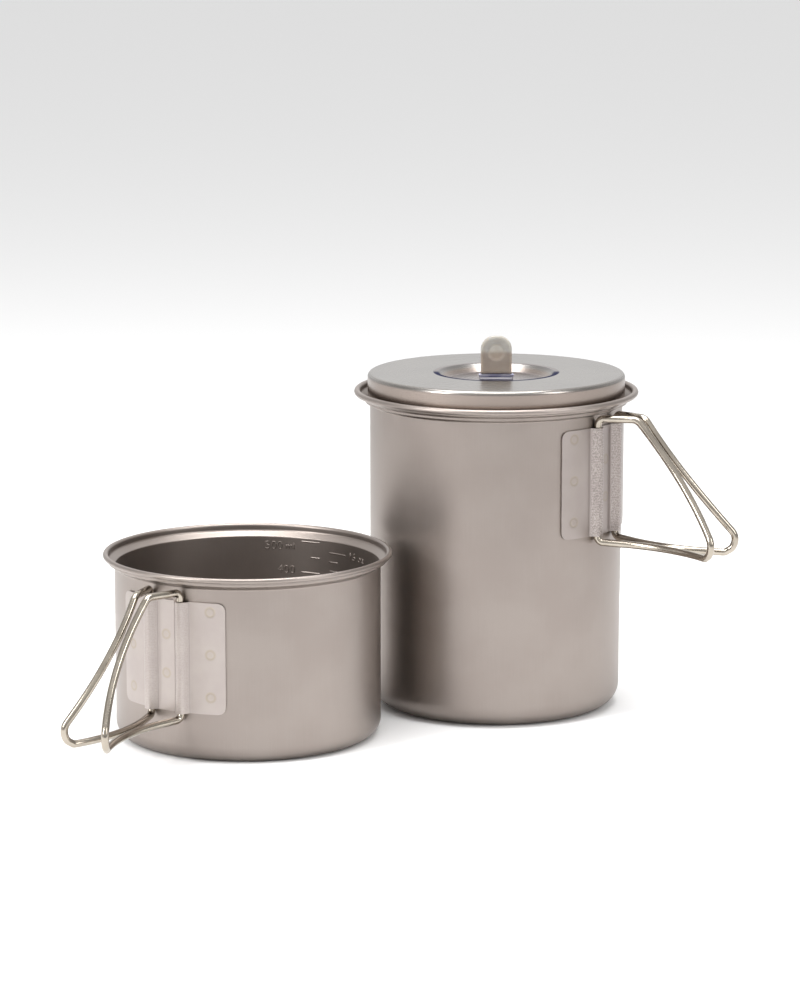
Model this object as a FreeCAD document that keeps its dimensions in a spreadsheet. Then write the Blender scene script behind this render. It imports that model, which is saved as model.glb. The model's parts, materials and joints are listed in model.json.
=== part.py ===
"""Cooking pot set: a tall pot with a lid, and a wide bowl that stands beside it.

Each vessel is a drawn titanium shell with a rolled rim. A formed plate is spot-welded to its wall, and
two wire handles turn in that plate's channels. The lid drops into the pot's mouth, and its knob is a
silicone-covered tab that folds down into the dish in the middle of the lid.

Frame: millimetres, +Z up, origin at the centre of the pot's base. The bowl stands on the same plane.
"""
import FreeCAD, Part
import math
import os
import Sketcher

PARTS_FOLDER = "parts"
X_AXIS = FreeCAD.Vector(1, 0, 0)
Y_AXIS = FreeCAD.Vector(0, 1, 0)
Z_AXIS = FreeCAD.Vector(0, 0, 1)

SIZES = {
    # sheet metal and rims
    "wall": 0.4,
    "curl_below": 60,
    # pot
    "pot_radius": 48.95,
    "pot_foot_radius": 48.45,
    "pot_height": 124.2,
    "pot_corner": 8.4,
    "pot_draft_top": 68.0,
    "pot_rim_radius": 55.1,
    "pot_bead_radius": 1.2,
    "pot_shoulder_low": 5.5,
    "pot_shoulder_top": 2.8,
    # bowl
    "bowl_radius": 50.2,
    "bowl_height": 70.4,
    "bowl_corner": 6.2,
    "bowl_rim_radius": 54.5,
    "bowl_bead_radius": 1.0,
    "bowl_shoulder_low": 4.9,
    "bowl_shoulder_top": 3.2,
    "bowl_x": -94.8,
    "bowl_y": -51.8,
    # hinge plates
    "plate_thickness": 0.7,
    "plate_height": 41.8,
    "plate_half_chord": 22.8,
    "plate_corner": 3.0,
    "channel_angle": 7.65,
    "channel_bore": 1.5,
    "pot_plate_level": 93.2,
    "pot_plate_angle": -33.65,
    "bowl_plate_level": 39.6,
    "bowl_plate_angle": -123.95,
    # wire handles
    "wire_radius": 1.4,
    "handle_top": 24.3,
    "handle_shoulder_reach": 15.6,
    "handle_shoulder_top": 24.7,
    "handle_tip_reach": 59.6,
    "handle_tip_drop": 24.5,
    "handle_bottom": 23.4,
    "handle_end_gap": 2.0,
    "handle_root_bend": 2.5,
    "handle_shoulder_bend": 4.4,
    "handle_tip_bend": 5.0,
    "handle_curve_start": 9.7,
    "handle_curve_end": 50.5,
    "handle_curve_radius": 55.5,
    "pot_left_swing": 14.5,
    "pot_right_swing": -16.2,
    "bowl_left_swing": 18.55,
    "bowl_right_swing": -12.85,
    # lid
    "lid_radius": 49.9,
    "lid_top": 130.5,
    "lid_bottom": 120.15,
    "lid_edge": 1.7,
    "dish_radius": 22.6,
    "dish_floor_radius": 19.0,
    "dish_depth": 3.0,
    # lid knob, with levels measured up from the floor of the dish
    "pin_level": 1.5,
    "pin_radius": 0.4,
    "pin_head_radius": 0.7,
    "pin_head_length": 0.3,
    "saddle_thickness": 0.3,
    "saddle_half_length": 6.45,
    "saddle_half_width": 1.5,
    "saddle_ear_radius": 0.9,
    "saddle_gap": 6.15,
    "knuckle_radius": 0.8,
    "knuckle_bore": 0.45,
    "knuckle_half_width": 6.0,
    "tab_thickness": 0.5,
    "tab_half_width": 4.9,
    "tab_top": 15.7,
    "tab_hole": 3.3,
    "tab_hole_level": 10.8,
    "cover_half_width": 6.0,
    "cover_thickness": 2.1,
    "cover_bottom": 2.35,
    "cover_top": 17.0,
    "cover_top_bend": 5.2,
    "cover_edge": 0.7,
    "cover_dimple_radius": 3.1,
    "cover_dimple_depth": 0.35,
}


class Dim:
    """A size with its value in millimetres or degrees and the sheet expression that gives it."""

    def __init__(self, value, text):
        self.value = value
        self.text = text

    @staticmethod
    def of(other):
        return other if isinstance(other, Dim) else Dim(float(other), repr(float(other)))

    def __add__(self, other):
        other = Dim.of(other)
        return Dim(self.value + other.value, f"({self.text} + {other.text})")

    def __sub__(self, other):
        other = Dim.of(other)
        return Dim(self.value - other.value, f"({self.text} - {other.text})")

    def __mul__(self, factor):
        factor = Dim.of(factor)
        return Dim(self.value * factor.value, f"({self.text} * {factor.text})")

    def __truediv__(self, other):
        other = Dim.of(other)
        return Dim(self.value / other.value, f"({self.text} / {other.text})")

    def __neg__(self):
        return Dim(-self.value, f"(-1 * {self.text})")

    def cos(self):
        return Dim(math.cos(math.radians(self.value)), f"cos({self.text})")

    def sin(self):
        return Dim(math.sin(math.radians(self.value)), f"sin({self.text})")


class Sheet:
    """The spreadsheet of driving sizes. sheet.name gives that size as a Dim."""

    def __init__(self, document, sizes):
        self.table = document.addObject("Spreadsheet::Sheet", "Sizes")
        self.values = sizes
        for row, (name, value) in enumerate(sizes.items(), start=1):
            self.table.set(f"A{row}", name.replace("_", " "))
            self.table.set(f"B{row}", str(value))
            self.table.setAlias(f"B{row}", name)
        document.recompute()

    def __getattr__(self, name):
        return Dim(float(self.values[name]), f"Sizes.{name}")


doc = FreeCAD.newDocument("CookingPotSet")
size = Sheet(doc, SIZES)
finished = []


def bind(thing, **properties):
    """Gives each named property its value and ties it to the sheet."""
    for name, dim in properties.items():
        dim = Dim.of(dim)
        setattr(thing, name, dim.value)
        thing.setExpression(name, dim.text)
    return thing


def place(thing, x=0.0, y=0.0, z=0.0, axis=Z_AXIS, angle=0.0):
    """Puts an object at x, y, z, turned by angle about axis, with all four tied to the sheet."""
    x, y, z, angle = (Dim.of(part) for part in (x, y, z, angle))
    spot = FreeCAD.Vector(x.value, y.value, z.value)
    thing.Placement = FreeCAD.Placement(spot, FreeCAD.Rotation(axis, angle.value))
    for path, dim in (("Base.x", x), ("Base.y", y), ("Base.z", z), ("Rotation.Angle", angle)):
        if path != "Rotation.Angle" or dim.value:
            thing.setExpression(f"Placement.{path}", dim.text)
    return thing


def finish(thing, label):
    """Marks an object as one of the set's pieces."""
    thing.Label = label
    finished.append(thing)
    return thing


# ---------------------------------------------------------------- sketches

def origin_plane(body, role):
    return next(plane for plane in body.Origin.OriginFeatures if plane.Role == role)


def outline_sketch(body, name, role, outline):
    """A closed sketch on one of the body's origin planes.

    outline lists the corners in order. (x, y) is reached by a line, and (x, y, radius, turn) by an arc
    of that radius, where turn is +1 for an arc that runs anticlockwise and -1 for clockwise. A fifth
    value of True takes the long way round.
    """
    sketch = body.newObject("Sketcher::SketchObject", name)
    sketch.AttachmentSupport = (origin_plane(body, role), [""])
    sketch.MapMode = "FlatFace"
    starts = []
    for index, step in enumerate(outline):
        before = outline[index - 1]
        a = FreeCAD.Vector(Dim.of(before[0]).value, Dim.of(before[1]).value, 0)
        b = FreeCAD.Vector(Dim.of(step[0]).value, Dim.of(step[1]).value, 0)
        if len(step) == 2:
            edge = sketch.addGeometry(Part.LineSegment(a, b), False)
            starts.append((edge, 1, 2))
        else:
            radius, turn = Dim.of(step[2]).value, step[3]
            long_way = len(step) > 4 and step[4]
            chord = b - a
            rise = math.sqrt(max(radius ** 2 - (chord.Length / 2) ** 2, 0.0))
            side = FreeCAD.Vector(-chord.y, chord.x, 0).normalize() * turn
            centre = (a + b) / 2 + side * (-rise if long_way else rise)
            first, last = (a, b) if turn > 0 else (b, a)
            angles = [math.atan2(p.y - centre.y, p.x - centre.x) for p in (first, last)]
            circle = Part.Circle(centre, Z_AXIS, radius)
            edge = sketch.addGeometry(Part.ArcOfCircle(circle, angles[0], angles[1]), False)
            starts.append((edge, 1, 2) if turn > 0 else (edge, 2, 1))
    for index, (edge, start, end) in enumerate(starts):
        following = starts[(index + 1) % len(starts)]
        sketch.addConstraint(Sketcher.Constraint("Coincident", edge, end, following[0], following[1]))
    for index, step in enumerate(outline):
        edge, start, end = starts[index]
        for kind, axis, dim in (("DistanceX", -2, step[0]), ("DistanceY", -1, step[1])):
            dim = Dim.of(dim)
            if dim.value == 0:
                sketch.addConstraint(Sketcher.Constraint("PointOnObject", edge, end, axis))
            else:
                number = sketch.addConstraint(Sketcher.Constraint(kind, -1, 1, edge, end, dim.value))
                sketch.setExpression(f"Constraints[{number}]", dim.text)
        if len(step) > 2:
            radius = Dim.of(step[2])
            number = sketch.addConstraint(Sketcher.Constraint("Radius", edge, radius.value))
            sketch.setExpression(f"Constraints[{number}]", radius.text)
    return sketch


def revolve(body, name, outline):
    """A full turn of an outline in the XZ plane about the body's Z axis."""
    sketch = outline_sketch(body, name + "_outline", "XZ_Plane", outline)
    turned = body.newObject("PartDesign::Revolution", name)
    turned.Profile = sketch
    turned.ReferenceAxis = (sketch, ["V_Axis"])
    turned.Angle = 360
    return turned


def pad(body, name, sketch, length, midplane=False):
    """Raises a sketch to a solid, away from its plane or equally on both sides of it."""
    solid = body.newObject("PartDesign::Pad", name)
    solid.Profile = sketch
    solid.Midplane = midplane
    return bind(solid, Length=length)


# ---------------------------------------------------------------- primitives and booleans

def cylinder(name, radius, height, x=0.0, y=0.0, z=0.0, axis=Z_AXIS, angle=0.0):
    thing = doc.addObject("Part::Cylinder", name)
    bind(thing, Radius=radius, Height=height)
    return place(thing, x, y, z, axis, angle)


def crosswise_cylinder(name, radius, half_length, level):
    """A cylinder along X, centred on the Z axis at a level."""
    return cylinder(name, radius, half_length * 2, -half_length, 0, level, Y_AXIS, 90)


def box(name, half_x, half_y, bottom, top):
    """A box centred on the Z axis, from one level up to another."""
    thing = doc.addObject("Part::Box", name)
    bind(thing, Length=Dim.of(half_x) * 2, Width=Dim.of(half_y) * 2, Height=Dim.of(top) - bottom)
    return place(thing, -Dim.of(half_x), -Dim.of(half_y), bottom)


def fuse(name, *things):
    thing = doc.addObject("Part::MultiFuse", name)
    thing.Shapes = list(things)
    return thing


def common(name, base, tool):
    thing = doc.addObject("Part::Common", name)
    thing.Base = base
    thing.Tool = tool
    return thing


def cut(name, base, *tools):
    thing = doc.addObject("Part::Cut", name)
    thing.Base = base
    thing.Tool = tools[0] if len(tools) == 1 else fuse(name + "_tools", *tools)
    return thing


# ---------------------------------------------------------------- vessels

def vessel(label, foot, radius, draft_top, corner, height, rim, bead, low, top):
    """A drawn shell: flat base, rounded corner, straight wall, flared shoulder and outward curl.

    foot is the radius just above the corner, and radius that of the wall above draft_top. bead is the
    curl's outside radius. low and top say how far below the rim the shoulder starts and ends.
    """
    wall = size.wall
    neck = rim - bead * 2          # inside of the neck, where the curl starts
    curl_level = height - bead
    lip = -size.curl_below
    outer_x = rim - bead + bead * lip.cos()
    outer_z = curl_level + bead * lip.sin()
    inner_x = rim - bead + (bead - wall) * lip.cos()
    inner_z = curl_level + (bead - wall) * lip.sin()
    outline = [
        (0, 0),
        (foot - corner, 0),
        (foot, corner, corner, 1),
        (radius, draft_top),
        (radius, height - low),
        (neck + wall, height - top),
        (neck + wall, curl_level),
        (inner_x, inner_z, bead - wall, -1, True),
        (outer_x, outer_z),
        (neck, curl_level, bead, 1, True),
        (neck, height - top + wall),
        (radius - wall, height - low + wall),
        (radius - wall, draft_top),
        (foot - wall, corner),
        (foot - corner, wall, corner - wall, -1),
        (0, wall),
    ]
    body = doc.addObject("PartDesign::Body", label)
    revolve(body, label + "_shell", outline)
    return finish(body, label)


def make_vessels():
    vessel("pot_body", size.pot_foot_radius, size.pot_radius, size.pot_draft_top, size.pot_corner,
           size.pot_height, size.pot_rim_radius, size.pot_bead_radius, size.pot_shoulder_low,
           size.pot_shoulder_top)
    bowl = vessel("bowl_body", size.bowl_radius, size.bowl_radius, size.bowl_height / 2,
                  size.bowl_corner, size.bowl_height, size.bowl_rim_radius, size.bowl_bead_radius,
                  size.bowl_shoulder_low, size.bowl_shoulder_top)
    place(bowl, size.bowl_x, size.bowl_y)


# ---------------------------------------------------------------- hinge plates

def hinge_radius(wall_radius):
    """How far the wire's turning axis stands from the vessel's axis."""
    return wall_radius + size.channel_bore


def plate_blank(name):
    """A rounded rectangle facing +X, as high and wide as the plate, reaching well past the wall."""
    across, up, bend = size.plate_half_chord, size.plate_height / 2, size.plate_corner
    body = doc.addObject("PartDesign::Body", name)
    outline = [
        (across - bend, -up),
        (across, bend - up, bend, 1),
        (across, up - bend),
        (across - bend, up, bend, 1),
        (bend - across, up),
        (-across, up - bend, bend, 1),
        (-across, bend - up),
        (bend - across, -up, bend, 1),
    ]
    sketch = outline_sketch(body, name + "_outline", "YZ_Plane", outline)
    pad(body, name + "_pad", sketch, size.pot_rim_radius)
    return body


def hinge_plate(label, wall_radius, x, y, level, angle):
    """A thin plate curved to the wall, with two half-round channels for the handle wires."""
    half = size.plate_height / 2
    outer_radius = wall_radius + size.plate_thickness
    skins = [cylinder(label + "_skin", outer_radius, size.plate_height, z=-half)]
    hollows = [cylinder(label + "_wall", wall_radius, size.plate_height, z=-half)]
    for side, turn in (("left", -size.channel_angle), ("right", size.channel_angle)):
        axis_x = hinge_radius(wall_radius) * turn.cos()
        axis_y = hinge_radius(wall_radius) * turn.sin()
        name = f"{label}_{side}"
        skins.append(cylinder(name + "_ridge", size.channel_bore + size.plate_thickness,
                              size.plate_height, axis_x, axis_y, -half))
        hollows.append(cylinder(name + "_bore", size.channel_bore, size.plate_height,
                                axis_x, axis_y, -half))
        hollows.append(channel_mouth(name + "_mouth", wall_radius, turn))
    blank = common(label + "_blank", fuse(label + "_skins", *skins), plate_blank(label + "_shape"))
    plate = cut(label + "_cut", blank, *hollows)
    place(plate, x, y, level, angle=angle)
    return finish(plate, label)


def channel_mouth(name, wall_radius, turn):
    """The straight-sided gap between a channel's bore and the wall."""
    slot = doc.addObject("Part::Box", name)
    bind(slot, Length=size.channel_bore * 2, Width=size.channel_bore * 2, Height=size.plate_height)
    near = wall_radius - size.channel_bore
    place(slot, near * turn.cos() + size.channel_bore * turn.sin(),
          near * turn.sin() - size.channel_bore * turn.cos(), -(size.plate_height / 2), angle=turn)
    return slot


# ---------------------------------------------------------------- wire handles

class Bend:
    """A point and direction on the handle's flat pattern, carried onto its curved plan.

    reach is measured outward from the turning axis along the wire's plan line, which is straight up to
    curve_start, an arc to curve_end, and straight again. turn is +1 when that arc runs anticlockwise.
    """

    def __init__(self, turn):
        self.turn = turn
        self.start = size.handle_curve_start.value
        self.end = size.handle_curve_end.value
        self.radius = size.handle_curve_radius.value

    def heading(self, reach):
        along = min(max(reach, self.start), self.end) - self.start
        return along / self.radius

    def point(self, reach, level):
        angle = self.heading(reach)
        x = min(reach, self.start) + self.radius * math.sin(angle)
        y = self.radius * (1 - math.cos(angle))
        beyond = max(reach - self.end, 0.0)
        x += beyond * math.cos(angle)
        y += beyond * math.sin(angle)
        return FreeCAD.Vector(x, y * self.turn, level)

    def direction(self, reach, across, up):
        angle = self.heading(reach)
        return FreeCAD.Vector(across * math.cos(angle), across * math.sin(angle) * self.turn, up)


def rounded_path(corners):
    """Splits a path of (reach, level, bend radius) corners into straight and round stretches.

    Each stretch is a function from 0 to 1 that gives reach, level and the direction of travel there.
    """
    places = [FreeCAD.Vector(reach, level, 0) for reach, level, bend in corners]
    stretches = []
    here = places[0]
    for index in range(1, len(corners)):
        going = (places[index] - here).normalize()
        if index == len(corners) - 1:
            stretches.append(straight_stretch(here, places[index]))
            break
        leaving = (places[index + 1] - places[index]).normalize()
        half_turn = math.acos(max(-1.0, min(1.0, going.dot(leaving)))) / 2
        back = corners[index][2] * math.tan(half_turn)
        first, last = places[index] - going * back, places[index] + leaving * back
        stretches.append(straight_stretch(here, first))
        stretches.append(round_stretch(first, last, going, leaving, corners[index][2]))
        here = last
    return stretches


def straight_stretch(first, last):
    going = (last - first).normalize()
    return lambda part: (first + (last - first) * part, going)


def round_stretch(first, last, going, leaving, radius):
    side = 1 if going.cross(leaving).z > 0 else -1
    inward = FreeCAD.Vector(-going.y, going.x, 0) * side
    centre = first + inward * radius
    whole = math.acos(max(-1.0, min(1.0, going.dot(leaving)))) * side

    def travel(part):
        turn = FreeCAD.Rotation(Z_AXIS, math.degrees(whole * part))
        return centre + turn.multVec(first - centre), turn.multVec(going)
    return travel


def smooth_edge(bend, stretch, first, last, pieces):
    """One edge through evenly spaced places of part of a stretch, tangent to it at both ends."""
    parts = [first + (last - first) * step / pieces for step in range(pieces + 1)]
    spots = [stretch(part)[0] for part in parts]
    points = [bend.point(spot.x, spot.y) for spot in spots]
    tangents = []
    for part in (first, last):
        spot, going = stretch(part)
        tangents.append(bend.direction(spot.x, going.x, going.y))
    curve = Part.BSplineCurve()
    curve.interpolate(Points=points, InitialTangent=tangents[0], FinalTangent=tangents[1])
    return curve.toShape()


def run_edges(bend, stretch, pieces):
    """The edges of a straight stretch, parted where its plan line changes from straight to curved."""
    first, last = stretch(0)[0].x, stretch(1)[0].x
    parts = {0.0, 1.0}
    for reach in (bend.start, bend.end):
        if min(first, last) < reach < max(first, last):
            parts.add((reach - first) / (last - first))
    parts = sorted(parts)
    edges = []
    for begin, end in zip(parts, parts[1:]):
        middle = stretch((begin + end) / 2)[0].x
        if bend.start < middle < bend.end:
            edges.append(smooth_edge(bend, stretch, begin, end, pieces))
        else:
            ends = [stretch(part)[0] for part in (begin, end)]
            ends = [bend.point(spot.x, spot.y) for spot in ends]
            edges.append(Part.LineSegment(*ends).toShape())
    return edges


def handle_wire(turn):
    """A bent wire that starts and ends inside the channel, facing +X, with its turning axis on Z."""
    gap = size.handle_end_gap.value / 2
    corners = [
        (0, gap, 0),
        (0, size.handle_top.value, size.handle_root_bend.value),
        (size.handle_shoulder_reach.value, size.handle_shoulder_top.value,
         size.handle_shoulder_bend.value),
        (size.handle_tip_reach.value, -size.handle_tip_drop.value, size.handle_tip_bend.value),
        (0, -size.handle_bottom.value, size.handle_root_bend.value),
        (0, -gap, 0),
    ]
    bend = Bend(turn)
    pieces_per_turn = 6
    pieces_per_run = 12
    edges = []
    for number, stretch in enumerate(rounded_path(corners)):
        if number % 2:
            edges.append(smooth_edge(bend, stretch, 0, 1, pieces_per_turn))
        else:
            edges += run_edges(bend, stretch, pieces_per_run)
    spine = Part.Wire(edges)
    section = Part.Wire(Part.Circle(FreeCAD.Vector(0, 0, gap), Z_AXIS, size.wire_radius.value).toShape())
    return spine.makePipeShell([section], True, False), spine.Length


def handle(label, wall_radius, x, y, level, plate_angle, side, swing):
    turn = size.channel_angle * side
    solid, length = handle_wire(side)
    thing = doc.addObject("Part::Feature", label)
    thing.Shape = solid
    expected = math.pi * size.wire_radius.value ** 2 * length
    if abs(solid.Volume / expected - 1) > 0.01:
        raise SystemExit(f"{label}: volume {solid.Volume:.1f}, expected {expected:.1f}")
    at = plate_angle + turn
    place(thing, x + hinge_radius(wall_radius) * at.cos(), y + hinge_radius(wall_radius) * at.sin(),
          level, angle=plate_angle + swing)
    return finish(thing, label)


def make_handles():
    hinge_plate("pot_hinge_plate", size.pot_radius, Dim.of(0), Dim.of(0), size.pot_plate_level,
                size.pot_plate_angle)
    hinge_plate("bowl_hinge_plate", size.bowl_radius, size.bowl_x, size.bowl_y,
                size.bowl_plate_level, size.bowl_plate_angle)
    for side, name in ((-1, "left"), (1, "right")):
        handle("pot_handle_" + name, size.pot_radius, Dim.of(0), Dim.of(0), size.pot_plate_level,
               size.pot_plate_angle, side, getattr(size, f"pot_{name}_swing"))
        handle("bowl_handle_" + name, size.bowl_radius, size.bowl_x, size.bowl_y,
               size.bowl_plate_level, size.bowl_plate_angle, side, getattr(size, f"bowl_{name}_swing"))


# ---------------------------------------------------------------- lid

def make_lid():
    """A drawn cap with a rounded edge and a round dish, standing on the pot's inner shoulder."""
    wall = size.wall
    top, edge, rim = size.lid_top, size.lid_edge, size.lid_radius
    floor = top - size.dish_depth
    outline = [
        (0, floor - wall),
        (size.dish_floor_radius + wall / 2, floor - wall),
        (size.dish_radius + wall / 2, top - wall),
        (rim - edge, top - wall),
        (rim - wall, top - edge, edge - wall, -1),
        (rim - wall, size.lid_bottom),
        (rim, size.lid_bottom),
        (rim, top - edge),
        (rim - edge, top, edge, 1),
        (size.dish_radius, top),
        (size.dish_floor_radius, floor),
        (0, floor),
    ]
    body = doc.addObject("PartDesign::Body", "lid_cap")
    revolve(body, "lid_shell", outline)
    return finish(body, "lid_cap")


# ---------------------------------------------------------------- lid knob

def dish_floor():
    return size.lid_top - size.dish_depth


def make_saddle():
    """A folded strip welded in the dish, with an ear at each end of the knob's pin."""
    ear, thickness = size.saddle_ear_radius, size.saddle_thickness
    level, length = size.pin_level, size.saddle_half_length
    foot = box("saddle_foot", length, size.saddle_half_width, 0, thickness)
    ears = box("saddle_ears", length, ear, 0, level)
    round_top = crosswise_cylinder("saddle_round_top", ear, length, level)
    gap = box("saddle_opening", size.saddle_gap, size.saddle_half_width, thickness, level + ear)
    hole = crosswise_cylinder("saddle_pin_hole", size.pin_radius, length, level)
    saddle = cut("saddle_cut", fuse("saddle_blank", foot, ears, round_top), gap, hole)
    place(saddle, z=dish_floor())
    return finish(saddle, "knob_saddle")


def make_pin():
    head_end = size.saddle_half_length + size.pin_head_length
    shaft = crosswise_cylinder("pin_shaft", size.pin_radius, head_end, size.pin_level)
    heads = crosswise_cylinder("pin_heads", size.pin_head_radius, head_end, size.pin_level)
    between = box("pin_between_heads", size.saddle_half_length, size.pin_head_radius * 2, 0,
                  size.pin_level * 2)
    pin = fuse("pin", shaft, cut("pin_head_pair", heads, between))
    place(pin, z=dish_floor())
    return finish(pin, "knob_pin")


def arched_outline(half_width, bottom, top, bend):
    """A rectangle whose two upper corners are rounded."""
    return [
        (-half_width, bottom),
        (half_width, bottom),
        (half_width, top - bend),
        (half_width - bend, top, bend, 1),
        (bend - half_width, top),
        (-half_width, top - bend, bend, 1),
    ]


def make_tab():
    """A sheet tab rolled round the pin at its foot, with a hole that keys the silicone."""
    body = doc.addObject("PartDesign::Body", "tab_sheet")
    margin = size.cover_half_width - size.tab_half_width
    outline = arched_outline(size.tab_half_width, size.pin_level, size.tab_top,
                             size.cover_top_bend - margin)
    sketch = outline_sketch(body, "tab_outline", "XZ_Plane", outline)
    pad(body, "tab_pad", sketch, size.tab_thickness, midplane=True)
    knuckle = crosswise_cylinder("tab_knuckle", size.knuckle_radius, size.knuckle_half_width,
                                 size.pin_level)
    bore = crosswise_cylinder("tab_bore", size.knuckle_bore, size.knuckle_half_width, size.pin_level)
    window = cylinder("tab_window", size.tab_hole, size.tab_thickness * 2,
                      0, size.tab_thickness, size.tab_hole_level, X_AXIS, 90)
    tab = cut("tab", fuse("tab_blank", body, knuckle), bore, window)
    place(tab, z=dish_floor())
    return finish(tab, "knob_tab")


def make_cover():
    """The silicone moulded over the tab, with a shallow round dimple on each face."""
    body = doc.addObject("PartDesign::Body", "cover_block")
    outline = arched_outline(size.cover_half_width, size.cover_bottom, size.cover_top,
                             size.cover_top_bend)
    sketch = outline_sketch(body, "cover_outline", "XZ_Plane", outline)
    block = pad(body, "cover_pad", sketch, size.cover_thickness, midplane=True)
    doc.recompute()
    half = size.cover_thickness.value / 2
    face_edges = []
    for number, edge in enumerate(block.Shape.Edges, start=1):
        middle = edge.valueAt((edge.FirstParameter + edge.LastParameter) / 2)
        if abs(abs(middle.y) - half) < 1e-6 and middle.z > size.cover_bottom.value + 1e-6:
            face_edges.append(f"Edge{number}")
    rounding = body.newObject("PartDesign::Fillet", "cover_rounding")
    rounding.Base = (block, face_edges)
    bind(rounding, Radius=size.cover_edge)
    body.Tip = rounding
    depth = size.cover_dimple_depth
    hollows = []
    for name, y in (("front", depth - size.cover_thickness / 2),
                    ("back", size.cover_thickness / 2 + depth)):
        hollows.append(cylinder(f"cover_{name}_dimple", size.cover_dimple_radius, depth * 2,
                                0, y, size.tab_hole_level, X_AXIS, 90))
    sheet = box("cover_slot", size.tab_half_width, size.tab_thickness / 2,
                size.cover_bottom, size.tab_top)
    cover = cut("cover", body, sheet, *hollows)
    place(cover, z=dish_floor())
    return finish(cover, "knob_cover")


def make_all():
    make_vessels()
    make_handles()
    make_lid()
    make_saddle()
    make_pin()
    make_tab()
    make_cover()


def check_and_export():
    doc.recompute()
    for thing in doc.Objects:
        if {"Invalid", "Error"} & set(thing.State):
            raise SystemExit(f"{thing.Name} failed: {thing.State}")
    os.makedirs(PARTS_FOLDER, exist_ok=True)
    for thing in finished:
        shape = thing.Shape
        if shape.isNull() or not shape.isValid() or not shape.Solids:
            raise SystemExit(f"{thing.Label} has no valid solid")
        shape.exportStep(os.path.join(PARTS_FOLDER, thing.Label + ".step"))
        print(f"{thing.Label}: {len(shape.Solids)} solid(s), {shape.Volume:.1f} mm3")


make_all()
check_and_export()
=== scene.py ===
"""Looks of the cooking pot set: a tall lidded titanium pot and a wide bowl, both with wire handles.

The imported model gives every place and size. The shells, hinge plates, lid and silicone cover are built
here as finer meshes in the same places, and the wires and small metal parts keep their own meshes.
Lengths below are in millimetres unless a name says otherwise; MM turns them into Blender's metres.
"""
import json
import math

import bmesh
import bpy
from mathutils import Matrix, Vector


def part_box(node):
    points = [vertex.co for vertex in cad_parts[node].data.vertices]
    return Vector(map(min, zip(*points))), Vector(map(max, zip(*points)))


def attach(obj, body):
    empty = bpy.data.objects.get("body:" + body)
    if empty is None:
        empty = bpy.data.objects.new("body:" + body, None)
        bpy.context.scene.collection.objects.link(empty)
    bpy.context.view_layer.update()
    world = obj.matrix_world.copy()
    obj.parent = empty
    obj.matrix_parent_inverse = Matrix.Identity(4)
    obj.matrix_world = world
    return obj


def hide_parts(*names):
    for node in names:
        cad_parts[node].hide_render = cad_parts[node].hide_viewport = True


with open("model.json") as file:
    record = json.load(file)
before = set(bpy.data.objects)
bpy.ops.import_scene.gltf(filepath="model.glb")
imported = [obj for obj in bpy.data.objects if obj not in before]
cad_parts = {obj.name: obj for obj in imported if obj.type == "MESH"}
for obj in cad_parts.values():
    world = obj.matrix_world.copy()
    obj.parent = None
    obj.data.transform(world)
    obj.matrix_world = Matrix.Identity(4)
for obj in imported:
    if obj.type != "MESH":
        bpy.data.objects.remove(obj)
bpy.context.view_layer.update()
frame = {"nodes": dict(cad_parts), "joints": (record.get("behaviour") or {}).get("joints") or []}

MM = 0.001
WALL = 0.4                 # sheet thickness of both vessels and the lid
CHANNEL_BORE = 1.5         # inside radius of a hinge plate's channels
PLATE = 0.7                # thickness of a hinge plate
LATHE_STEPS = 288          # facets round a turned piece
ARC_STEP = math.radians(7)  # the most that one facet of a rounded corner turns


# ---------------------------------------------------------------- outlines

def rounded(corners, closed=False):
    """A list of points along a path whose (x, y, radius) corners are rounded.

    Straight runs get a supporting point near each end, so that smooth shading stays flat on them.
    """
    support = 0.3
    count = len(corners)
    points = []
    for index, (x, y, radius) in enumerate(corners):
        here = Vector((x, y))
        at_end = not closed and index in (0, count - 1)
        if at_end:
            points.append(here)
            continue
        before = Vector(corners[index - 1][:2])
        after = Vector(corners[(index + 1) % count][:2])
        arriving = (here - before).normalized()
        leaving = (after - here).normalized()
        turn = arriving.angle(leaving)
        if radius <= 0 or turn < 1e-4:
            points.append(here)
            continue
        back = radius * math.tan(turn / 2)
        side = 1 if arriving.cross(leaving) > 0 else -1
        normal = Vector((-arriving.y, arriving.x)) * side
        centre = here - arriving * back + normal * radius
        start_angle = math.atan2(-normal.y, -normal.x)
        steps = max(2, math.ceil(turn / ARC_STEP))
        if (here - before).length > back + support * 2:
            points.append(here - arriving * (back + support))
        for step in range(steps + 1):
            angle = start_angle + side * turn * step / steps
            points.append(centre + Vector((math.cos(angle), math.sin(angle))) * radius)
        if (after - here).length > back + support * 2:
            points.append(here + leaving * (back + support))
    return points


# ---------------------------------------------------------------- mesh makers

def new_object(name, vertices, faces, place=(0, 0, 0)):
    """A smooth-shaded mesh object from points in millimetres, with its origin at place in metres."""
    mesh = bpy.data.meshes.new(name)
    mesh.from_pydata([tuple(c * MM for c in v) for v in vertices], [], faces)
    mesh.validate()
    for polygon in mesh.polygons:
        polygon.use_smooth = True
    thing = bpy.data.objects.new(name, mesh)
    bpy.context.scene.collection.objects.link(thing)
    thing.location = place
    return thing


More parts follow.
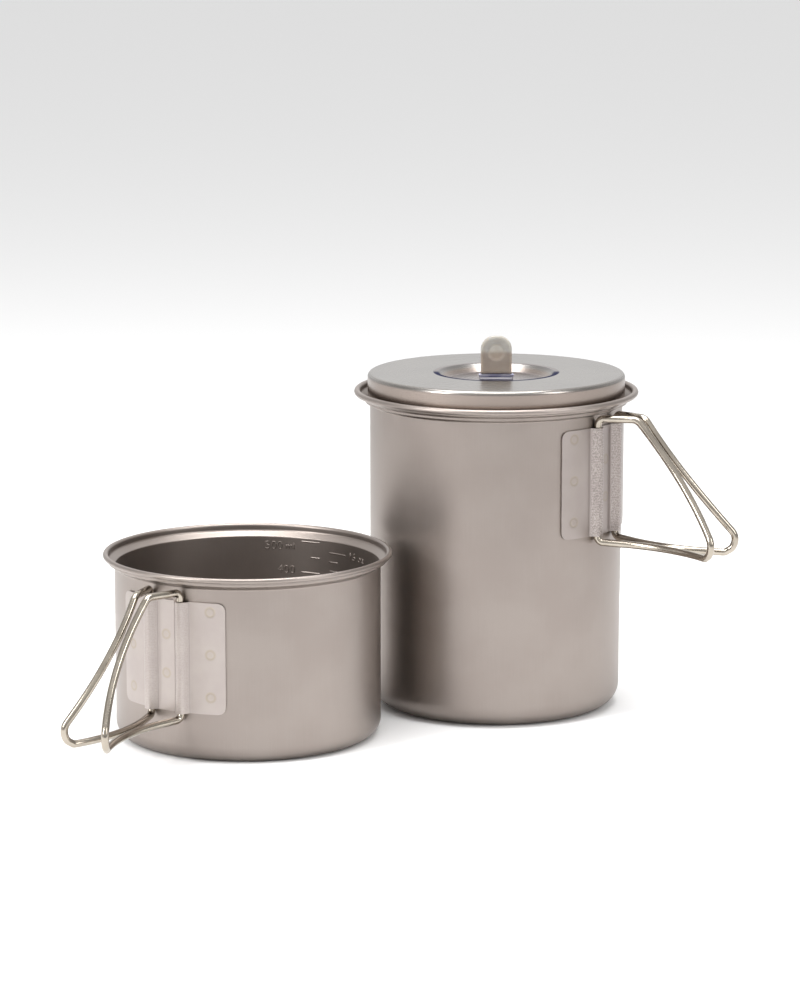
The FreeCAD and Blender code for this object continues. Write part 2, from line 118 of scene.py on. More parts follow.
def lathe(name, profile, place=(0, 0, 0), steps=LATHE_STEPS):
    """Turns a profile of (radius, height) points about Z. Points on the axis become single vertices."""
    vertices, rings = [], []
    for radius, height in profile:
        if radius < 1e-6:
            rings.append([len(vertices)])
            vertices.append((0.0, 0.0, height))
            continue
        ring = []
        for step in range(steps):
            angle = 2 * math.pi * step / steps
            ring.append(len(vertices))
            vertices.append((radius * math.cos(angle), radius * math.sin(angle), height))
        rings.append(ring)
    faces = []
    for lower, upper in zip(rings, rings[1:]):
        for step in range(steps):
            after = (step + 1) % steps
            quad = [lower[step % len(lower)], lower[after % len(lower)],
                    upper[after % len(upper)], upper[step % len(upper)]]
            face = list(dict.fromkeys(quad))
            if len(face) > 2:
                faces.append(face)
    return new_object(name, vertices, faces, place)


def grid_faces(columns, rows, first=0, flip=False):
    """Quads over a grid of vertices stored row by row."""
    faces = []
    for row in range(rows - 1):
        for column in range(columns - 1):
            a = first + row * columns + column
            quad = [a, a + 1, a + columns + 1, a + columns]
            faces.append(quad[::-1] if flip else quad)
    return faces


def dress(piece, body, material, slot, *nodes):
    """Gives a piece its body and material, and lets it stand for its CAD nodes. The slot is not used."""
    piece.data.materials.clear()
    piece.data.materials.append(material)
    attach(piece, body)
    if nodes:
        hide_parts(*nodes)
    return piece


# ---------------------------------------------------------------- the frame's own sizes

class Vessel:
    """Where one vessel stands, and the sizes that its pieces share, in millimetres."""

    def __init__(self, name):
        low, high = (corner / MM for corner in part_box(name + "_body"))
        self.name = name
        self.x = (low.x + high.x) / 2
        self.y = (low.y + high.y) / 2
        self.height = high.z
        self.rim = (high.x - low.x) / 2
        axes = []
        for side in ("left", "right"):
            joint = next(j for j in frame["joints"] if j["name"] == f"{name}_{side}_handle_fold")
            axes.append(Vector(joint["pos_m"]) / MM - Vector((self.x, self.y, 0)))
        self.radius = axes[0].to_2d().length - CHANNEL_BORE
        middle = axes[0] + axes[1]
        self.plate_angle = math.atan2(middle.y, middle.x)
        self.channel_angle = axes[0].to_2d().angle(axes[1].to_2d()) / 2
        plate_low, plate_high = (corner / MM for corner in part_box(name + "_hinge_plate"))
        self.plate_level = (plate_low.z + plate_high.z) / 2
        self.plate_height = plate_high.z - plate_low.z

    @property
    def place(self):
        return (self.x * MM, self.y * MM, 0)


POT = Vessel("pot")
BOWL = Vessel("bowl")


# ---------------------------------------------------------------- node helpers

class Nodes:
    """Short calls for building a material's or the world's node tree."""

    def __init__(self, tree):
        self.tree = tree
        tree.nodes.clear()

    def add(self, kind, **settings):
        node = self.tree.nodes.new(kind)
        for name, value in settings.items():
            setattr(node, name, value)
        return node

    def link(self, source, target):
        self.tree.links.new(source, target)

    def feed(self, socket, value):
        """Links a socket to value, or sets it if value is a plain number or tuple."""
        if isinstance(value, bpy.types.NodeSocket):
            self.link(value, socket)
        elif value is not None:
            socket.default_value = value

    def math(self, operation, a, b=None, c=None, clamp=False):
        node = self.add("ShaderNodeMath", operation=operation, use_clamp=clamp)
        for socket, value in zip(node.inputs, (a, b, c)):
            self.feed(socket, value)
        return node.outputs[0]

    def smooth(self, value, low, high):
        """0 below low, 1 above high, smooth between. low may be above high."""
        node = self.add("ShaderNodeMapRange", interpolation_type="SMOOTHSTEP")
        if low > high:
            low, high = high, low
            node.inputs["To Min"].default_value = 1.0
            node.inputs["To Max"].default_value = 0.0
        self.feed(node.inputs["Value"], value)
        node.inputs["From Min"].default_value = low
        node.inputs["From Max"].default_value = high
        return node.outputs[0]

    def blend(self, factor, a, b):
        """The number a where factor is 0, b where it is 1."""
        node = self.add("ShaderNodeMix", data_type="FLOAT")
        self.feed(node.inputs["Factor"], factor)
        self.feed(node.inputs["A"], a)
        self.feed(node.inputs["B"], b)
        return node.outputs["Result"]

    def mix(self, factor, a, b, blend="MIX"):
        node = self.add("ShaderNodeMix", data_type="RGBA", blend_type=blend)
        colours = [s for s in node.inputs if s.type == "RGBA"]
        self.feed(node.inputs[0], factor)
        self.feed(colours[0], a)
        self.feed(colours[1], b)
        return next(s for s in node.outputs if s.type == "RGBA")

    def noise(self, vector, scale, detail=2.0, roughness=0.5):
        node = self.add("ShaderNodeTexNoise")
        self.feed(node.inputs["Vector"], vector)
        node.inputs["Scale"].default_value = scale
        node.inputs["Detail"].default_value = detail
        node.inputs["Roughness"].default_value = roughness
        return node.outputs["Fac"]

    def combine(self, x, y, z):
        node = self.add("ShaderNodeCombineXYZ")
        for socket, value in zip(node.inputs, (x, y, z)):
            self.feed(socket, value)
        return node.outputs[0]

    def separate(self, vector):
        node = self.add("ShaderNodeSeparateXYZ")
        self.feed(node.inputs[0], vector)
        return node.outputs

    def bump(self, height, strength, distance_mm, normal=None):
        node = self.add("ShaderNodeBump")
        node.inputs["Strength"].default_value = strength
        node.inputs["Distance"].default_value = distance_mm * MM
        self.feed(node.inputs["Height"], height)
        self.feed(node.inputs["Normal"], normal)
        return node.outputs[0]


def principled(name):
    """A new material with a Principled shader, its nodes helper and its object coordinates."""
    material = bpy.data.materials.new(name)
    material.use_nodes = True
    nodes = Nodes(material.node_tree)
    output = nodes.add("ShaderNodeOutputMaterial")
    shader = nodes.add("ShaderNodeBsdfPrincipled")
    nodes.link(shader.outputs[0], output.inputs["Surface"])
    position = nodes.add("ShaderNodeTexCoord").outputs["Object"]
    return material, nodes, shader, position


def around(nodes, position):
    """(angle about Z, distance from Z, height) of a point, in radians and metres."""
    x, y, z = nodes.separate(position)
    angle = nodes.math("ARCTAN2", y, x)
    square = nodes.math("ADD", nodes.math("MULTIPLY", x, x), nodes.math("MULTIPLY", y, y))
    return angle, nodes.math("SQRT", square), z


# ---------------------------------------------------------------- materials

SHELL_COLOUR = (0.316, 0.277, 0.253, 1)
SHELL_DEEP = (0.291, 0.252, 0.23, 1)
PLATE_COLOUR = (0.425, 0.38, 0.355, 1)
PLATE_DEEP = (0.39, 0.345, 0.325, 1)


def shell_material():
    """Bead-blasted titanium: a fine grain, faint drawn streaks down the wall and soft cloudiness."""
    material, nodes, shader, position = principled("titanium_shell")
    angle, _, height = around(nodes, position)
    cloud = nodes.noise(position, 38, detail=3)
    streak_place = nodes.combine(nodes.math("MULTIPLY", angle, 55.0),
                                 nodes.math("MULTIPLY", height, 26.0), 0.0)
    streaks = nodes.noise(streak_place, 2.2, detail=4, roughness=0.6)
    grain = nodes.noise(position, 5200, detail=2, roughness=0.7)
    tone = nodes.math("ADD", nodes.math("MULTIPLY", cloud, 0.8),
                      nodes.math("MULTIPLY", streaks, 0.2))
    nodes.feed(shader.inputs["Base Color"],
               nodes.mix(nodes.smooth(tone, 0.35, 0.65), SHELL_DEEP, SHELL_COLOUR))
    rough = nodes.math("ADD", nodes.blend(cloud, 0.38, 0.44), nodes.blend(grain, -0.03, 0.03))
    nodes.feed(shader.inputs["Roughness"], rough)
    nodes.feed(shader.inputs["Normal"], nodes.bump(grain, 0.18, 0.02))
    shader.inputs["Metallic"].default_value = 1.0
    return material


def lid_material():
    """Satin titanium with a faint turned finish, and a heat tint round the lip of the dish, painted blue
    mostly at the front and straw at the back as a painted reflection.
    """
    material, nodes, shader, position = principled("titanium_lid")
    angle, distance, height = around(nodes, position)
    rings = nodes.noise(nodes.combine(nodes.math("MULTIPLY", distance, 2600.0),
                                      nodes.math("MULTIPLY", angle, 0.6), 0.0), 1.0, detail=3)
    cloud = nodes.noise(position, 45, detail=3)
    grain = nodes.noise(position, 5200, detail=2, roughness=0.7)
    plain = nodes.mix(nodes.smooth(cloud, 0.35, 0.65), (0.279, 0.262, 0.247, 1),
                      (0.300, 0.281, 0.263, 1))
    skirt = nodes.smooth(height, 129.6 * MM, 128.6 * MM)
    plain = nodes.mix(skirt, plain, (0.315, 0.265, 0.235, 1))
    lip = DISH_RADIUS * MM
    _, y, _ = nodes.separate(position)
    # Painted reflection: the heat tint's blue is made strong at the front of the lip and faint at the
    # back, and a straw line is painted at the back only.
    front_painted_reflection = nodes.smooth(y, 3.0 * MM, -3.0 * MM)
    blue_ring = nodes.math("MULTIPLY", nodes.smooth(distance, lip - 1.5 * MM, lip - 0.4 * MM),
                           nodes.smooth(distance, lip + 2.1 * MM, lip + 1.5 * MM))
    blue_ring = nodes.math("MULTIPLY", blue_ring, nodes.blend(front_painted_reflection, 0.12, 0.85))
    straw_ring = nodes.math("MULTIPLY", nodes.smooth(distance, lip - 0.1 * MM, lip + 0.5 * MM),
                            nodes.smooth(distance, lip + 1.9 * MM, lip + 1.1 * MM))
    straw_ring = nodes.math("MULTIPLY", straw_ring, nodes.blend(front_painted_reflection, 0.4, 0.0))
    tinted = nodes.mix(blue_ring, plain, (0.045, 0.05, 0.095, 1))
    tinted = nodes.mix(straw_ring, tinted, (0.30, 0.21, 0.17, 1))
    dish = nodes.smooth(distance, lip - 2.0 * MM, lip - 5.0 * MM)
    tinted = nodes.mix(nodes.math("MULTIPLY", dish, 0.5), tinted, (0.27, 0.27, 0.30, 1))
    nodes.feed(shader.inputs["Base Color"], tinted)
    # The specular tint follows the same blue ring, so it carries the same painted front-to-back split.
    edge = nodes.mix(blue_ring, (1, 1, 1, 1), (0.10, 0.11, 0.22, 1))
    nodes.feed(shader.inputs["Specular Tint"], edge)
    rough = nodes.math("ADD", nodes.blend(rings, 0.24, 0.30), nodes.blend(grain, -0.02, 0.02))
    nodes.feed(shader.inputs["Roughness"], rough)
    fine = nodes.bump(grain, 0.12, 0.02)
    nodes.feed(shader.inputs["Normal"], nodes.bump(rings, 0.05, 0.02, fine))
    shader.inputs["Metallic"].default_value = 1.0
    return material


def plate_material(vessel, knurl):
    """Pressed sheet, smoother and lighter than the shell, with a straw tint at each spot weld, painted
    shade in the low points of the tool marks and painted shade along the foot of each channel.

    knurl is how deep the tool marks are along the channels, in millimetres; it also sets how dark their
    painted shade is.
    """
    material, nodes, shader, position = principled(f"titanium_plate_{vessel.name}")
    weld = nodes.add("ShaderNodeAttribute", attribute_name="weld").outputs["Fac"]
    ridge = nodes.add("ShaderNodeAttribute", attribute_name="ridge").outputs["Fac"]
    cloud = nodes.noise(position, 90, detail=4)
    grain = nodes.noise(position, 4200, detail=2, roughness=0.7)
    _, _, z = nodes.separate(position)
    marks = nodes.noise(position, 1900, detail=1)
    rungs = nodes.math("SINE", nodes.math("MULTIPLY", z, 2 * math.pi / (0.62 * MM)))
    marks = nodes.math("ADD", nodes.math("SUBTRACT", marks, 0.5), nodes.math("MULTIPLY", rungs, 0.1))
    marks = nodes.math("MULTIPLY", marks, ridge)
    plain = nodes.mix(nodes.smooth(cloud, 0.3, 0.7), PLATE_DEEP, PLATE_COLOUR)
    straw = nodes.mix(nodes.math("MULTIPLY", weld, 0.5), plain, (0.34, 0.29, 0.20, 1))
    # Painted shade: the low points of the tool marks are darkened, more so where the marks are deeper.
    painted_shade = nodes.math("MULTIPLY", nodes.smooth(marks, 0.10, -0.12), knurl * 8)
    # Painted shade along the foot of each channel, where the flat plate turns up into the channel.
    foot = nodes.math("MULTIPLY", nodes.smooth(ridge, 0.0, 0.1), nodes.smooth(ridge, 0.45, 0.15))
    painted_shade = nodes.math("MAXIMUM", painted_shade, nodes.math("MULTIPLY", foot, 0.55))
    nodes.feed(shader.inputs["Base Color"], nodes.mix(painted_shade, straw, (0.21, 0.18, 0.175, 1)))
    rough = nodes.math("ADD", nodes.blend(cloud, 0.33, 0.41), nodes.blend(grain, -0.03, 0.03))
    nodes.feed(shader.inputs["Roughness"], rough)
    fine = nodes.bump(grain, 0.15, 0.02)
    nodes.feed(shader.inputs["Normal"], nodes.bump(marks, 1.0, knurl, fine))
    shader.inputs["Metallic"].default_value = 1.0
    return material


def wire_material():
    """Drawn wire, bright and a little warm, with faint die marks and rubbed patches."""
    material, nodes, shader, position = principled("titanium_wire")
    rubbed = nodes.noise(position, 120, detail=3)
    marks = nodes.noise(position, 2400, detail=2)
    nodes.feed(shader.inputs["Base Color"],
               nodes.mix(nodes.smooth(rubbed, 0.35, 0.65), (0.36, 0.32, 0.27, 1),
                         (0.43, 0.385, 0.325, 1)))
    nodes.feed(shader.inputs["Roughness"],
               nodes.math("ADD", nodes.blend(rubbed, 0.12, 0.20), nodes.blend(marks, -0.02, 0.02)))
    nodes.feed(shader.inputs["Normal"], nodes.bump(marks, 0.02, 0.02))
    shader.inputs["Metallic"].default_value = 1.0
    return material


def knob_metal_material():
    """The knob's saddle, pin and tab: satin titanium blued by the heat of welding."""
    material, nodes, shader, position = principled("knob_metal")
    cloud = nodes.noise(position, 260, detail=3)
    grain = nodes.noise(position, 5200, detail=2)
    nodes.feed(shader.inputs["Base Color"],
               nodes.mix(nodes.smooth(cloud, 0.35, 0.65), (0.17, 0.17, 0.24, 1),
                         (0.27, 0.27, 0.33, 1)))
    nodes.feed(shader.inputs["Roughness"], nodes.blend(cloud, 0.25, 0.35))
    nodes.feed(shader.inputs["Normal"], nodes.bump(grain, 0.1, 0.02))
    shader.inputs["Metallic"].default_value = 1.0
    return material


def silicone_material():
    """Milky translucent silicone with a fine matt skin, and painted shade on its lower part standing in
    for the tab and lid seen through it.
    """
    material, nodes, shader, position = principled("silicone")
    cloud = nodes.noise(position, 300, detail=3)
    skin = nodes.noise(position, 3800, detail=2)
    _, _, z = nodes.separate(position)
    clear = nodes.mix(nodes.smooth(cloud, 0.3, 0.7), (0.50, 0.475, 0.43, 1), (0.56, 0.54, 0.49, 1))
    # Painted shade: the lower part is darker and browner, standing in for the tab and lid seen through
    # the silicone.
    lower_painted_shade = nodes.mix(nodes.smooth(cloud, 0.3, 0.7), (0.36, 0.30, 0.25, 1), (0.41, 0.35, 0.29, 1))
    nodes.feed(shader.inputs["Base Color"],
               nodes.mix(nodes.smooth(z, 139.2 * MM, 137.2 * MM), clear, lower_painted_shade))
    nodes.feed(shader.inputs["Roughness"], nodes.blend(skin, 0.38, 0.5))
    nodes.feed(shader.inputs["Normal"], nodes.bump(skin, 0.08, 0.02))
    shader.inputs["IOR"].default_value = 1.41
    shader.inputs["Transmission Weight"].default_value = 0.45
    shader.inputs["Subsurface Weight"].default_value = 0.5
    shader.inputs["Subsurface Radius"].default_value = (1.0, 0.85, 0.65)
    shader.inputs["Subsurface Scale"].default_value = 2.0 * MM
    return material


# ---------------------------------------------------------------- vessels

def shell_profile(foot, radius, draft_top, corner, height, rim, bead, low, top, stepped):
    """The closed section of a drawn shell, from the axis under the base round to the axis inside."""
    neck = rim - bead * 2
    curl = height - bead
    outside = [
        (0, 0, 0),
        (foot, 0, corner),
        (foot, corner * 1.02, 0) if foot == radius else (radius, draft_top, 60),
    ]
    bottom, rise, spread = height - low, low - top, neck + WALL - radius
    if stepped:
        outside += [
            (radius, bottom, 0.35),
            (radius + spread * 0.5, bottom + rise * 0.32, 0.2),
            (radius + spread * 0.5, bottom + rise * 0.62, 0.2),
            (neck + WALL, bottom + rise * 0.95, 0.35),
        ]
    else:
        outside += [(radius, bottom, 0.9), (neck + WALL, bottom + rise, 0.7)]
    outside.append((neck + WALL, curl, 0))
    inside = [
        (neck, curl, 0),
        (neck, height - top + WALL, 1.1),
        (radius - WALL, height - low + WALL, 0.5),
        (foot - WALL, corner * 1.02, 0) if foot == radius else (radius - WALL, draft_top, 60),
        (foot - WALL, WALL, corner - WALL),
        (0, WALL, 0),
    ]
    lip = -math.radians(60)
    centre = Vector((rim - bead, curl))
    under, over = [], []
    steps = 22
    for step in range(steps + 1):
        angle = math.pi + (lip - math.pi) * step / steps
        ray = Vector((math.cos(angle), math.sin(angle)))
        under.append(centre + ray * (bead - WALL))
        over.append(centre + ray * bead)
    return rounded(outside)[:-1] + under + over[::-1] + rounded(inside)[1:]


def make_pot(material):
    profile = shell_profile(foot=POT.radius - 0.5, radius=POT.radius, draft_top=68.0, corner=8.4,
                            height=POT.height, rim=POT.rim, bead=1.2, low=5.7, top=2.7,
                            stepped=True)
    piece = lathe("pot_shell", profile, POT.place)
    return dress(piece, "pot", material, "titanium_shell", "pot_body")


def make_bowl(material):
    profile = shell_profile(foot=BOWL.radius, radius=BOWL.radius, draft_top=0, corner=6.2,
                            height=BOWL.height, rim=BOWL.rim, bead=1.0, low=4.9, top=3.2,
                            stepped=False)
    piece = lathe("bowl_shell", profile, BOWL.place)
    return dress(piece, "bowl", material, "titanium_shell", "bowl_body")


# ---------------------------------------------------------------- lid

DISH_RADIUS = 22.6


def make_lid(material):
    low, high = (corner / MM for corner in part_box("lid_cap"))
    radius, top = (high.x - low.x) / 2, high.z
    edge, dish_floor, depth = 1.7, 19.0, 3.0
    floor = top - depth
    corners = [
        (0, floor - WALL, 0),
        (dish_floor, floor - WALL, 1.0),
        (DISH_RADIUS, top - WALL, 0.5),
        (radius - WALL, top - WALL, edge - WALL),
        (radius - WALL, low.z, 0.12),
        (radius, low.z, 0.12),
        (radius, top, edge),
        (DISH_RADIUS, top, 0.8),
        (dish_floor, floor, 0.8),
        (0, floor, 0),
    ]
    piece = lathe("lid_shell", rounded(corners), POT.place)
    return dress(piece, "lid", material, "titanium_lid", "lid_cap")


# ---------------------------------------------------------------- hinge plates

WELD_SIDE = 18.0           # how far round the wall the outer welds are from the plate's middle
WELD_SIDE_PITCH = 16.0
WELD_SIDE_LEVEL = 1.5      # how far the outer welds' pattern stands above the plate's middle
WELD_MIDDLE_PITCH = 14.6
WELD_MIDDLE_LEVEL = 0.6
PLATE_HALF = 23.7          # half width of a plate, measured round the wall


def weld_places():
    places = []
    for side in (-WELD_SIDE, WELD_SIDE):
        for row in (-1, 0, 1):
            places.append((side, WELD_SIDE_LEVEL + row * WELD_SIDE_PITCH))
    for row in (-0.5, 0.5):
        places.append((0, WELD_MIDDLE_LEVEL + row * WELD_MIDDLE_PITCH))
    return places


def weld_ring(across, up):
    """How strongly a point belongs to a spot weld's ring, from 0 to 1."""
    ring = 0.0
    for x, y in WELD_PLACES:
        away = math.hypot(across - x, up - y)
        ring = max(ring, math.exp(-((away - 1.6) / 0.45) ** 2), 0.35 * math.exp(-(away / 1.4) ** 2))
    return ring


WELD_PLACES = weld_places()


def plate_section(channel_offset):
    """Points (across, out, along-normal) of the plate's face, left to right, over both channels."""
    top = CHANNEL_BORE * 2 + PLATE
    foot_half, top_half = 3.0, 1.3
    corners = [(-PLATE_HALF, PLATE, 0)]
    for centre in (-channel_offset, channel_offset):
        corners += [
            (centre - foot_half, PLATE, 0.7),
            (centre - top_half, top, 1.5),
            (centre + top_half, top, 1.5),
            (centre + foot_half, PLATE, 0.7),
        ]
    corners.append((PLATE_HALF, PLATE, 0))
    coarse = rounded(corners)
    fine = [coarse[0]]
    for point in coarse[1:]:
        gap = (point - fine[-1]).length
        steps = max(1, round(gap / 0.3))
        begin = fine[-1]
        for step in range(1, steps + 1):
            if gap > 1e-6:
                fine.append(begin.lerp(point, step / steps))
    return fine


def make_plate(vessel, material):
    """The plate as a closed skin of even thickness wrapped round the wall."""
    ridge_offset = (vessel.radius + CHANNEL_BORE) * vessel.channel_angle
    section = plate_section(ridge_offset)
    count = len(section)
    normals = []
    for index in range(count):
        ahead = section[min(index + 1, count - 1)] - section[max(index - 1, 0)]
        normals.append(Vector((-ahead.y, ahead.x)).normalized())
    half = vessel.plate_height / 2
    bend = 3.0
    rows = 141
    stand = 0.02
    outer, inner = [], []
    rings, ridges = [], []
    for row in range(rows):
        up = -half + 2 * half * row / (rows - 1)
        past = max(0.0, abs(up) - (half - bend))
        trim = bend - math.sqrt(max(bend ** 2 - past ** 2, 0.0))
        squeeze_from = PLATE_HALF - 6.0
        for point, normal in zip(section, normals):
            across = point.x
            if abs(across) > squeeze_from:
                share = (abs(across) - squeeze_from) / (PLATE_HALF - squeeze_from)
                across = math.copysign(abs(across) - trim * share, across)
            ring = weld_ring(across, up) if point.y < PLATE * 1.01 else 0.0
            rings.append(ring)
            ridges.append(min(max((point.y - PLATE) / 0.8, 0.0), 1.0))
            face = Vector((across, point.y - ring * 0.07))
            back = Vector((across, point.y)) - normal * PLATE
            for target, spot in ((outer, face), (inner, back)):
                angle = vessel.plate_angle + spot.x / (vessel.radius + PLATE / 2)
                reach = vessel.radius + stand + spot.y
                target.append((reach * math.cos(angle), reach * math.sin(angle),
                               vessel.plate_level + up))
    faces = grid_faces(count, rows) + grid_faces(count, rows, first=count * rows, flip=True)
    shift = count * rows
    top = (rows - 1) * count
    for column in range(count - 1):
        faces.append([column + 1, column, shift + column, shift + column + 1])
        faces.append([top + column, top + column + 1, shift + top + column + 1, shift + top + column])
    for row in range(rows - 1):
        left, left_up = row * count, (row + 1) * count
        right, right_up = left + count - 1, left_up + count - 1
        faces.append([left, left_up, shift + left_up, shift + left])
        faces.append([right_up, right, shift + right, shift + right_up])
    piece = new_object(vessel.name + "_plate", outer + inner, faces, vessel.place)
    for name, values in (("weld", rings), ("ridge", ridges)):
        layer = piece.data.attributes.new(name, "FLOAT", "POINT")
        layer.data.foreach_set("value", values + values)
    sharpen(piece, math.radians(50))
    return dress(piece, vessel.name, material, "titanium_plate", vessel.name + "_hinge_plate")


def sharpen(piece, angle):
    """Marks edges sharper than angle, so that smooth shading stops at them."""
    work = bmesh.new()
    work.from_mesh(piece.data)
    bmesh.ops.recalc_face_normals(work, faces=work.faces)
    for edge in work.edges:
        if len(edge.link_faces) == 2 and edge.calc_face_angle(0.0) > angle:
            edge.smooth = False
    work.to_mesh(piece.data)
    work.free()


# ---------------------------------------------------------------- scale marks inside the bowl

def make_scale(material):
    """Raised ticks and plain numbers for volume on the bowl's inside wall."""
    inside = BOWL.radius - WALL
    top_level, step_level, step_volume, top_volume = 64.5, 6.09, 50, 500
    pieces = []
    for number in range(9):
        volume = top_volume - step_volume * number
        level = top_level - step_level * number
        whole = volume % 100 == 0
        first = 67.7 if whole else 63.2
        pieces.append(wall_tick(f"tick_{volume}", inside, first, 58.0, level))
        if whole:
            start, lift = (84.6, -2.2) if volume == top_volume else (78.8, 0.6)
            pieces += wall_text(f"number_{volume}", str(volume), inside, start, level + lift, 3.2)
    ounce_top, ounce_step, most = 61.2, 3.61, 16
    for number in range(13):
        ounces = most - number
        level = ounce_top - ounce_step * number
        whole = ounces % 4 == 0
        pieces.append(wall_tick(f"ounce_tick_{ounces}", inside, 53.2, 43.0 if whole else 48.0, level))
        if whole:
            label = f"{ounces} oz" if ounces == most else str(ounces)
            pieces += wall_text(f"ounces_{ounces}", label, inside, 41.0, level, 3.0)
    pieces += wall_text("millilitres", "ml", inside, 75.0, top_level - 2.2, 2.6)
    for piece in pieces:
        dress(piece, "bowl", material, "titanium_shell")


def on_wall(inside, degrees, level, proud):
    angle = math.radians(degrees)
    reach = inside - proud
    return (reach * math.cos(angle), reach * math.sin(angle), level)


def wall_tick(name, inside, first, last, level):
    """A thin raised bar with sloping sides, along the wall from one azimuth to another."""
    half, proud = 0.35, 0.16
    across = [(-half, -0.05), (-half * 0.55, proud), (half * 0.55, proud), (half, -0.05)]
    steps = max(4, round(abs(first - last) * 1.5))
    vertices = []
    for step in range(steps + 1):
        degrees = first + (last - first) * step / steps
        at_end = step in (0, steps)
        for up, out in across:
            vertices.append(on_wall(inside, degrees, level + up, -0.05 if at_end else out))
    faces = grid_faces(len(across), steps + 1)
    return new_object(name, vertices, faces, BOWL.place)


def wall_text(name, words, inside, first, level, height):
    """Raised lettering that starts at an azimuth and reads rightwards as seen from the bowl's middle."""
    curve = bpy.data.curves.new(name, "FONT")
    curve.body = words
    curve.size = height * 1.42 * MM
    curve.extrude = 0.12 * MM
    curve.bevel_depth = 0.13 * MM
    curve.offset = -0.12 * MM
    curve.space_character = 1.08
    curve.align_y = "CENTER"
    source = bpy.data.objects.new(name + "_source", curve)
    bpy.context.scene.collection.objects.link(source)
    bpy.context.view_layer.update()
    mesh = bpy.data.meshes.new_from_object(source)
    bpy.data.objects.remove(source)
    work = bmesh.new()
    work.from_mesh(mesh)
    bmesh.ops.triangulate(work, faces=work.faces)
    for vertex in work.verts:
        x, y, z = (c / MM for c in vertex.co)
        degrees = first - math.degrees(x / inside)
        vertex.co = Vector(on_wall(inside, degrees, level + y, z)) * MM
    bmesh.ops.recalc_face_normals(work, faces=work.faces)
    work.to_mesh(mesh)
    work.free()
    mesh.name = name
    piece = bpy.data.objects.new(name, mesh)
    bpy.context.scene.collection.objects.link(piece)
    piece.location = BOWL.place
    return [piece]


# ---------------------------------------------------------------- knob cover

def make_cover(material):
    """The silicone cover: a rounded slab with an arched top and a soft round dimple on each face."""
    low, high = (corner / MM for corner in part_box("knob_cover"))
    half_width, half_deep = (high.x - low.x) / 2, (high.y - low.y) / 2
    arch, foot, edge = 5.2, 0.5, 0.7
    corners = [
        (-half_width, low.z, foot),
        (half_width, low.z, foot),
        (half_width, high.z, arch),
        (-half_width, high.z, arch),
    ]
    outline = []
    coarse = rounded(corners, closed=True)
    for index, point in enumerate(coarse):
        after = coarse[(index + 1) % len(coarse)]
        steps = max(1, round((after - point).length / 0.5))
        outline += [point.lerp(after, step / steps) for step in range(steps)]
    middle = Vector((0, low.z + 8.45))
    dimple_radius, dimple_depth = 3.1, 0.35
    shares = [0, 0.01, 0.03, 0.06, 0.1, 0.15, 0.2, 0.26, 0.32, 0.38, 0.44, 0.5, 0.56, 0.62, 0.68,
              0.74, 0.8, 0.86, 0.92]
    rings = []
    for share in shares:
        ring = []
        for point in outline:
            spot = point.lerp(middle, share)
            inset = (spot - point).length
            short = max(0.0, edge - inset)
            deep = half_deep - edge + math.sqrt(max(edge ** 2 - short ** 2, 0.0))
            away = (spot - middle).length
            fade = min(max((dimple_radius + 0.35 - away) / 0.7, 0.0), 1.0)
            deep -= dimple_depth * fade * fade * (3 - 2 * fade)
            ring.append((spot.x, deep, spot.y))
        rings.append(ring)
    count = len(outline)
    vertices, faces = [], []
    for face_side in (1, -1):
        first = len(vertices)
        for ring in rings:
            vertices += [(x, y * face_side, z) for x, y, z in ring]
        centre = len(vertices)
        vertices.append((middle.x, (half_deep - dimple_depth) * face_side, middle.y))
        for ring in range(len(rings) - 1):
            for step in range(count):
                after = (step + 1) % count
                a, b = first + ring * count + step, first + ring * count + after
                faces.append([a, b, b + count, a + count])
        last = first + (len(rings) - 1) * count
        for step in range(count):
            faces.append([last + step, last + (step + 1) % count, centre])
    behind = len(rings) * count + 1
    for step in range(count):
        after = (step + 1) % count
        faces.append([after, step, behind + step, behind + after])
    piece = new_object("knob_cover_skin", vertices, faces)
    sharpen(piece, math.radians(70))
    return dress(piece, "knob", material, "silicone", "knob_cover")


# ---------------------------------------------------------------- the frame's own nodes

def finish_nodes(wire, knob_metal):
    """Gives the CAD nodes that stay in view their material."""
    looks = {
        "pot_handle_left": wire,
        "pot_handle_right": wire,
        "bowl_handle_left": wire,
        "bowl_handle_right": wire,
        "knob_saddle": knob_metal,
        "knob_pin": knob_metal,
        "knob_tab": knob_metal,
    }
    for name, material in looks.items():
        node = frame["nodes"][name]
        node.data.materials.clear()
        node.data.materials.append(material)


# ---------------------------------------------------------------- studio

def make_camera():
    camera = bpy.data.cameras.new("camera")
    camera.lens = 136.8
    camera.sensor_width = 36
    camera.clip_start = 0.05
    camera.clip_end = 50
    view = bpy.data.objects.new("camera", camera)
    bpy.context.scene.collection.objects.link(view)
    view.location = (-0.0373, -1.4556, 0.3543)
    view.rotation_euler = (math.radians(79.329), 0, 0)
    bpy.context.scene.camera = view


def quarters(nodes, x, y):
    """How far a direction points behind, in front of, and to the right of the object, 0 to 1."""
    def squared(value):
        clipped = nodes.math("MAXIMUM", value, 0.0)
        return nodes.math("MULTIPLY", clipped, clipped)
    behind = squared(y)
    ahead = squared(nodes.math("MULTIPLY", y, -1.0))
    right = squared(x)
    left = squared(nodes.math("MULTIPLY", x, -1.0))
    total = nodes.math("ADD", nodes.math("ADD", behind, ahead), nodes.math("ADD", right, left))
    return [nodes.math("DIVIDE", part, nodes.math("ADD", total, 1e-6)) for part in (behind, ahead, right)]


def make_floor():
    """A plain pale sweep, the same all over. Its shadows are cast by the object."""
    bpy.ops.mesh.primitive_plane_add(size=60)
    floor = bpy.context.object
    floor.name = "floor"
    material = bpy.data.materials.new("floor")
    material.use_nodes = True
    shader = material.node_tree.nodes["Principled BSDF"]
    shader.inputs["Base Color"].default_value = (0.9, 0.9, 0.9, 1)
    shader.inputs["Roughness"].default_value = 1.0
    shader.inputs["Specular IOR Level"].default_value = 0.0
    floor.data.materials.append(material)


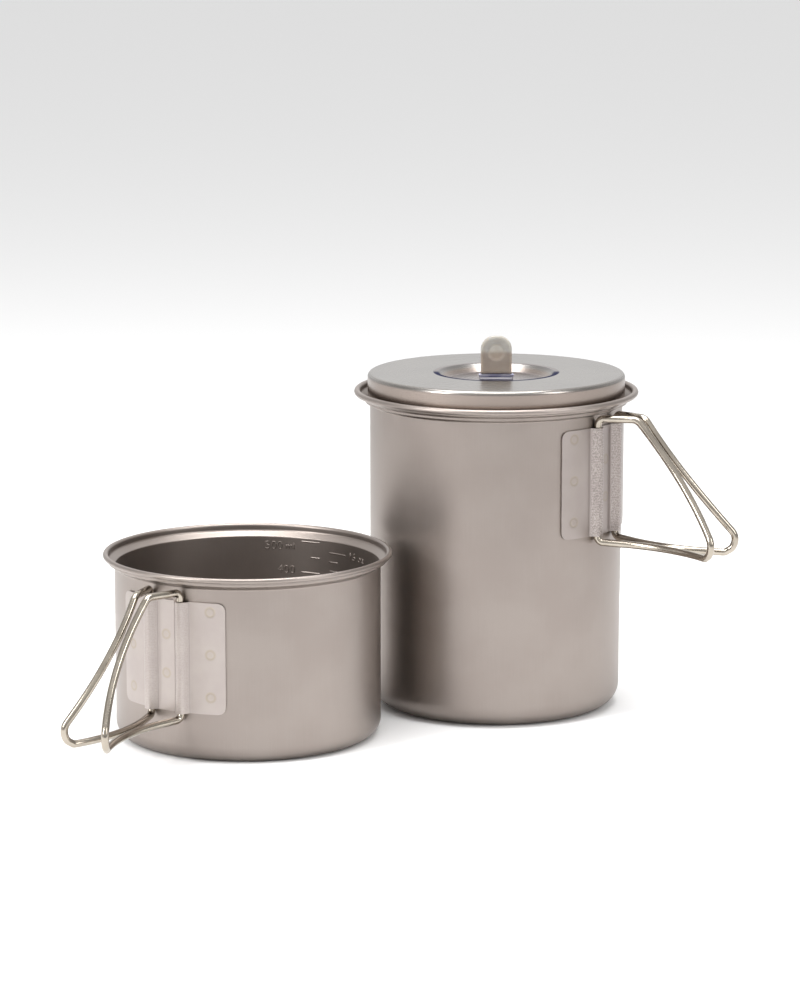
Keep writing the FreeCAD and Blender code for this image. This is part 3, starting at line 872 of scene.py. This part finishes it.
def make_world():
    """A pale studio: brightest behind the object, dimmer in front and to the right."""
    world = bpy.data.worlds.new("studio")
    bpy.context.scene.world = world
    world.use_nodes = True
    nodes = Nodes(world.node_tree)
    output = nodes.add("ShaderNodeOutputWorld")
    direction = nodes.add("ShaderNodeTexCoord").outputs["Generated"]
    x, y, z = nodes.separate(direction)
    behind, ahead, right = quarters(nodes, x, y)
    low = nodes.math("SUBTRACT", 1.0, nodes.math("MULTIPLY", behind, 0.1))
    low = nodes.math("SUBTRACT", low, nodes.math("MULTIPLY", right, 0.4))
    low = nodes.math("SUBTRACT", low, nodes.math("MULTIPLY", ahead, 0.6))
    middle = nodes.math("ADD", 0.45, nodes.math("MULTIPLY", behind, 0.75))
    middle = nodes.math("ADD", middle, nodes.math("MULTIPLY", ahead, 0.5))
    level = nodes.blend(nodes.smooth(z, 0.1, 0.35), low, middle)
    level = nodes.blend(nodes.smooth(z, 0.6, 0.85), level, 0.86)
    background = nodes.add("ShaderNodeBackground")
    background.inputs["Color"].default_value = (1, 1, 1, 1)
    nodes.feed(background.inputs["Strength"], level)
    nodes.link(background.outputs[0], output.inputs["Surface"])


def area_light(name, place, target, size, power, colour=(1, 1, 1)):
    light = bpy.data.lights.new(name, "AREA")
    light.shape = "RECTANGLE"
    light.size, light.size_y = size
    light.energy = power
    light.color = colour
    lamp = bpy.data.objects.new(name, light)
    bpy.context.scene.collection.objects.link(lamp)
    lamp.location = place
    aim = Vector(target) - Vector(place)
    lamp.rotation_euler = aim.to_track_quat("-Z", "Y").to_euler()


def make_lights():
    area_light("top_softbox", (-0.05, -0.05, 0.8), (-0.05, -0.05, 0), (0.6, 0.5), 7)
    area_light("left_strip", (-1.3, -0.9, 0.95), (0, 0, 0.05), (0.4, 1.1), 18)
    area_light("right_strip", (1.3, -0.9, 0.95), (0, 0, 0.05), (0.4, 1.1), 9)


def set_exposure():
    settings = bpy.context.scene.view_settings
    settings.view_transform = "Standard"
    settings.look = "None"
    settings.exposure = 0
    settings.gamma = 1


make_camera()
shell = shell_material()
make_pot(shell)
make_bowl(shell)
make_scale(shell)
make_lid(lid_material())
make_plate(POT, plate_material(POT, knurl=0.09))
make_plate(BOWL, plate_material(BOWL, knurl=0.02))
make_cover(silicone_material())
finish_nodes(wire_material(), knob_metal_material())
make_floor()
make_world()
make_lights()
set_exposure()
